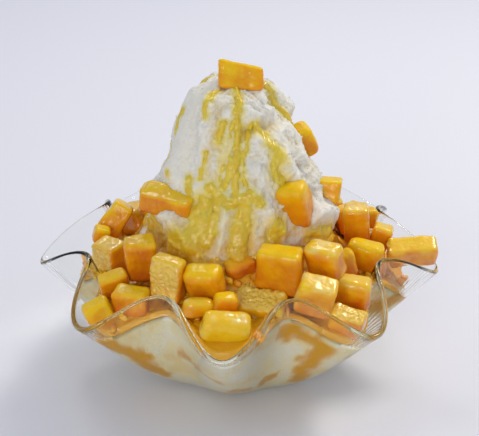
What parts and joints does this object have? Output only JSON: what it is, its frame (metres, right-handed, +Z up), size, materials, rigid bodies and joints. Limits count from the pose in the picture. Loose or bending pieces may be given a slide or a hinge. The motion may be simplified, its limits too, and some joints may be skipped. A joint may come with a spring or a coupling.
{
  "type": "shaved ice dessert",
  "caption": "Tall heap of shaved ice with cut mango pieces and mango sauce in a clear glass bowl with a wavy fluted rim; a served dessert that stands on its flat foot.",
  "frame": {"origin": "centre of the bowl's flat foot, on the surface it stands on", "axes": "+Z up along the axis of the bowl, -Y towards the front of the dessert, +X to the right as seen from the front"},
  "size_m": [0.1884, 0.1884, 0.155],
  "materials": {
    "glass": "clear, glossy, fire-polished lip",
    "shaved_ice": "frosty, silky folds of finely shaved ice stained with mango sauce",
    "mango": "wet cut mango flesh, juicy gloss"
  },
  "bodies": {
    "root": {"bowl": "glass", "shaved_ice": "shaved_ice", "mango_back_high_1": "mango", "mango_back_high_2": "mango", "mango_back_high_3": "mango", "mango_back_high_4": "mango", "mango_back_high_5": "mango", "mango_back_low_1": "mango", "mango_back_low_2": "mango", "mango_back_low_3": "mango", "mango_back_low_4": "mango", "mango_back_low_5": "mango", "mango_back_low_6": "mango", "mango_back_low_7": "mango", "mango_back_tower_1": "mango", "mango_back_tower_2": "mango", "mango_block": "mango", "mango_crown": "mango", "mango_flank": "mango", "mango_flank_behind": "mango", "mango_front_tip": "mango", "mango_large_front": "mango", "mango_left_fibrous": "mango", "mango_left_front": "mango", "mango_left_leaning": "mango", "mango_left_low": "mango", "mango_left_pulpy": "mango", "mango_left_sliver": "mango", "mango_left_tip": "mango", "mango_recessed": "mango", "mango_right_behind": "mango", "mango_right_glazed": "mango", "mango_right_long": "mango", "mango_right_lower": "mango", "mango_right_pulpy": "mango", "mango_right_shiny": "mango", "mango_right_small": "mango", "mango_right_smooth": "mango", "mango_right_upright": "mango", "mango_right_wedge": "mango", "mango_round_front": "mango", "mango_shoulder": "mango", "mango_slim_front": "mango", "mango_small_front": "mango", "mango_tall_pulpy": "mango", "mango_wet_top": "mango"}
  },
  "joints": []
}
